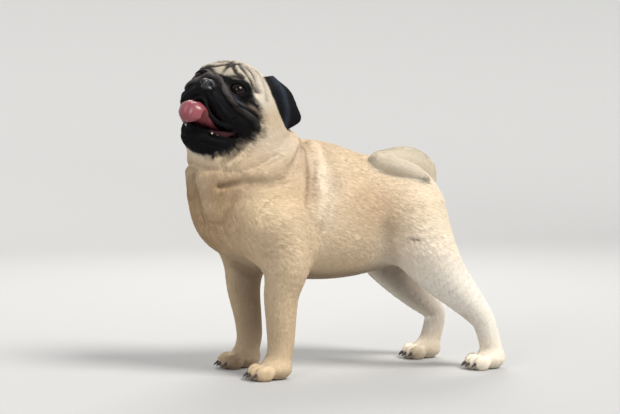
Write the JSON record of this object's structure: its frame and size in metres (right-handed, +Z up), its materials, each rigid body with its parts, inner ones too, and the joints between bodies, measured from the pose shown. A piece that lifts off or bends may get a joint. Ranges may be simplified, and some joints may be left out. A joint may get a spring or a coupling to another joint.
{
  "type": "pug dog",
  "caption": "Life-size pug standing on four legs with its head raised and turned, mouth open, tongue out, ears folded back and tail curled over the hip.",
  "frame": {"origin": "centre of the bounding box on the floor", "axes": "+X the dog's left, -Y the way the body faces, +Z up"},
  "size_m": [0.2014, 0.4466, 0.4074],
  "materials": {
    "fur": "short fawn fur",
    "mask": "short black fur",
    "ear": "velvety black fur",
    "nose": "damp pebbled black",
    "tongue": "wet pink",
    "eye": "wet dark brown"
  },
  "bodies": {
    "root": {"head": "fur", "lower_jaw": "mask", "nose": "nose", "tongue": "tongue", "eye_left": "eye", "eye_right": "eye", "ear_left": "ear", "ear_right": "ear", "neck": "fur", "torso": "fur", "tail": "fur", "foreleg_left": "fur", "foreleg_right": "fur", "hindleg_left": "fur", "hindleg_right": "fur"}
  },
  "joints": []
}
